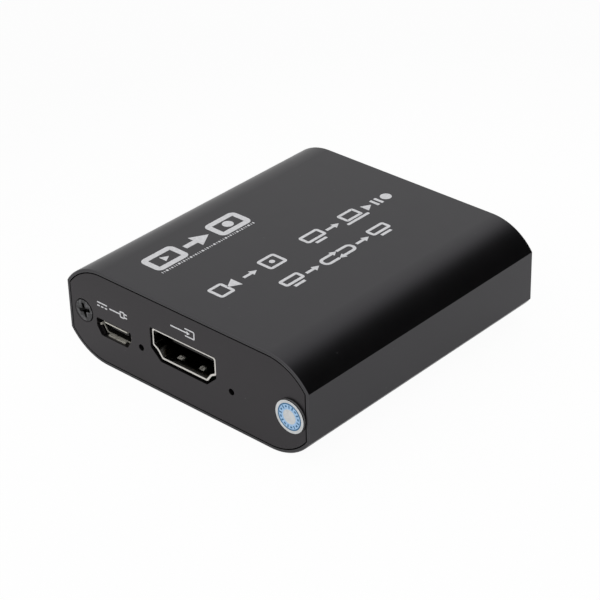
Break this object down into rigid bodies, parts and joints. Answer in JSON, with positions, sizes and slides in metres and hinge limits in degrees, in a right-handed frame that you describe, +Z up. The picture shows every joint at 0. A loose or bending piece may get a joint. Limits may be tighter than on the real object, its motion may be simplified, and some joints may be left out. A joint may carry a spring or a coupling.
{
  "type": "video capture box",
  "caption": "Small flat aluminium box with rounded edges and screwed end panels, with power and video sockets in front and video and data sockets behind.",
  "frame": {"origin": "middle of the flat base of the sleeve, on the surface that it rests on", "axes": "+Z up, -Y out of the front panel, +X to the right seen from the front"},
  "size_m": [0.055, 0.058, 0.0184],
  "materials": {
    "anodised_aluminium": "matt dark grey anodised, fine bead-blasted",
    "panel_paint": "matt dark grey, finely textured",
    "black_screw_steel": "black oxide",
    "socket_plate": "nickel plated, satin",
    "contact_gold": "gold flashed",
    "socket_moulding": "black glass-filled moulding",
    "data_moulding": "blue moulding",
    "board_laminate": "glass laminate under green solder mask",
    "chip_moulding": "black epoxy",
    "can_aluminium": "drawn, satin",
    "ferrite": "dark grey ferrite",
    "ceramic": "fired tan ceramic",
    "lamp_epoxy": "clear epoxy",
    "label_paper": "white label stock with blue print"
  },
  "bodies": {
    "root": {"sleeve_housing": "anodised_aluminium", "front_panel": "panel_paint", "rear_panel": "panel_paint", "front_panel_screws": "black_screw_steel", "rear_panel_screws": "black_screw_steel", "circuit_board": "board_laminate", "video_in_shell": "socket_plate", "video_in_insulator": "socket_moulding", "video_in_contacts": "contact_gold", "video_out_shell": "socket_plate", "video_out_insulator": "socket_moulding", "video_out_contacts": "contact_gold", "power_socket_shell": "socket_plate", "power_socket_insulator": "socket_moulding", "power_socket_contacts": "contact_gold", "data_socket_shell": "socket_plate", "data_socket_insulator": "data_moulding", "data_socket_contacts": "contact_gold", "splitter_chip": "chip_moulding", "capture_chip": "chip_moulding", "memory_chip": "chip_moulding", "crystals": "can_aluminium", "voltage_regulators": "chip_moulding", "power_inductors": "ferrite", "bulk_capacitors": "can_aluminium", "small_capacitors": "ceramic", "small_resistors": "chip_moulding", "surge_arrays": "chip_moulding", "power_light": "lamp_epoxy", "signal_light": "lamp_epoxy", "seal_sticker": "label_paper"}
  },
  "joints": []
}
